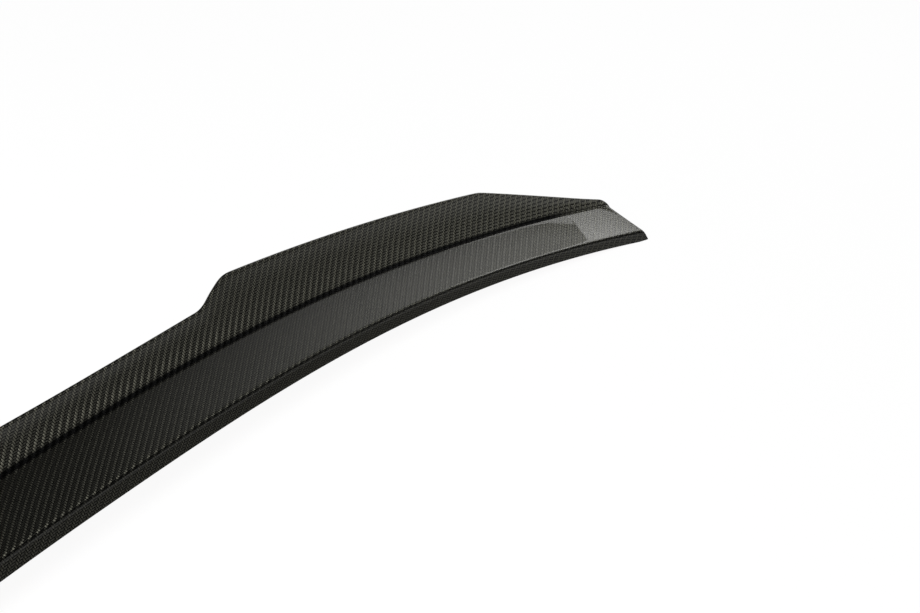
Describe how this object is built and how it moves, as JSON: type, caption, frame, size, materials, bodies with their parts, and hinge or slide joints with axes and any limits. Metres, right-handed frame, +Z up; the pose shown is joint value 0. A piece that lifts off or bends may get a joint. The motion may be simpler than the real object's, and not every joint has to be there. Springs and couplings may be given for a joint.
{
  "type": "car boot-lid spoiler",
  "caption": "Moulded carbon-fibre lip spoiler for a car's boot lid, with raised sides, a lowered centre section, a rear skirt and bonding tape underneath.",
  "frame": {"origin": "centre of the base, on the centre line of the car, level with the rear skirt's lower edge and the end pads", "axes": "+X along the width, +Y to the rear of the car, +Z up; the leading edge faces -Y"},
  "size_m": [1.12, 0.2017, 0.064],
  "materials": {
    "carbon_twill": "black carbon-fibre twill under a clear gloss coat",
    "bonding_tape": "grey foam tape under a red release film"
  },
  "bodies": {
    "root": {"spoiler_shell": "carbon_twill", "front_tape": "bonding_tape", "rear_tape": "bonding_tape"}
  },
  "joints": []
}
